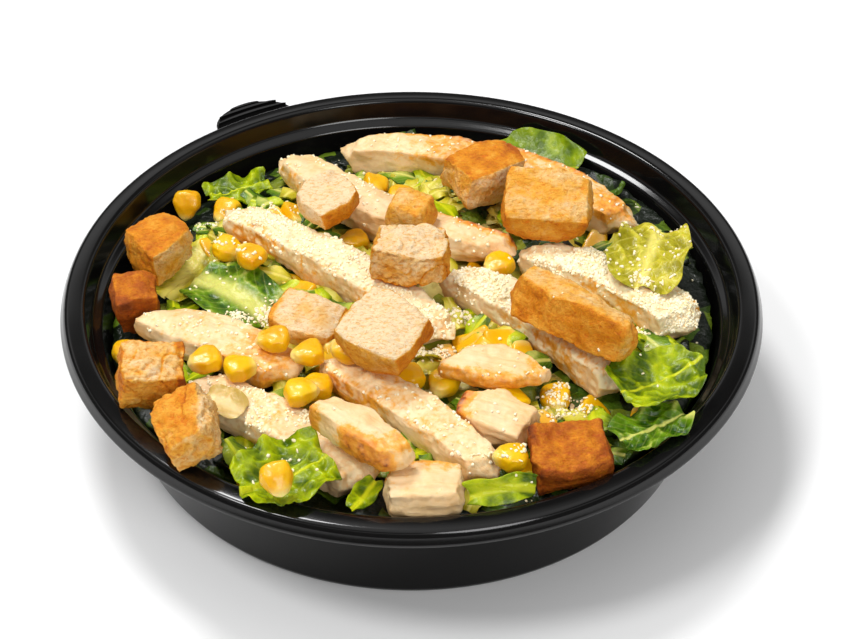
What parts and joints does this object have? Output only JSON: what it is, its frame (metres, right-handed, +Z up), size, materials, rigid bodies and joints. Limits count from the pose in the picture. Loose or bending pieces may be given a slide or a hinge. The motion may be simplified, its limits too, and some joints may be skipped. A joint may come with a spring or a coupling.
{
  "type": "chicken caesar salad in a takeaway bowl",
  "caption": "Chicken caesar salad heaped in a shallow round black takeaway bowl: sliced chicken, croutons, romaine leaves, corn and grated cheese, lid off, ready to eat.",
  "frame": {"origin": "centre of the bowl's foot, on the surface that it stands on", "axes": "+Z up; -Y is the front that faces the viewer; +X to the viewer's right; the lid tab is at the back left"},
  "size_m": [0.185, 0.185, 0.0597],
  "materials": {
    "bowl": "glossy black polypropylene with satin rim",
    "salad_bed": "moist shredded romaine and corn with fine cheese",
    "chicken": "cooked chicken breast, fibrous, moist, lightly seared at its edges",
    "crouton": "toasted bread, dry porous crumb with golden crust",
    "lettuce": "fresh romaine leaf, waxy and slightly translucent",
    "corn": "cooked corn kernels, smooth and glossy"
  },
  "bodies": {
    "root": {"bowl": "bowl", "chicken_01": "chicken", "chicken_02": "chicken", "chicken_03": "chicken", "chicken_04": "chicken", "chicken_05": "chicken", "chicken_06": "chicken", "chicken_07": "chicken", "chicken_08": "chicken", "chicken_09": "chicken", "chicken_10": "chicken", "chicken_11": "chicken", "chicken_12": "chicken", "corn_01": "corn", "corn_02": "corn", "corn_03": "corn", "corn_04": "corn", "corn_05": "corn", "corn_06": "corn", "corn_07": "corn", "corn_08": "corn", "corn_09": "corn", "corn_10": "corn", "corn_11": "corn", "corn_12": "corn", "corn_13": "corn", "corn_14": "corn", "corn_15": "corn", "corn_16": "corn", "corn_17": "corn", "corn_18": "corn", "corn_19": "corn", "corn_20": "corn", "corn_21": "corn", "crouton_01": "crouton", "crouton_02": "crouton", "crouton_03": "crouton", "crouton_04": "crouton", "crouton_05": "crouton", "crouton_06": "crouton", "crouton_07": "crouton", "crouton_08": "crouton", "crouton_09": "crouton", "crouton_10": "crouton", "crouton_11": "crouton", "crouton_12": "crouton", "crouton_13": "crouton", "lettuce_01": "lettuce", "lettuce_02": "lettuce", "lettuce_03": "lettuce", "lettuce_04": "lettuce", "lettuce_05": "lettuce", "lettuce_06": "lettuce", "lettuce_07": "lettuce", "lettuce_08": "lettuce", "lettuce_09": "lettuce", "lettuce_10": "lettuce", "lettuce_11": "lettuce", "lettuce_12": "lettuce", "salad_bed": "salad_bed"}
  },
  "joints": []
}
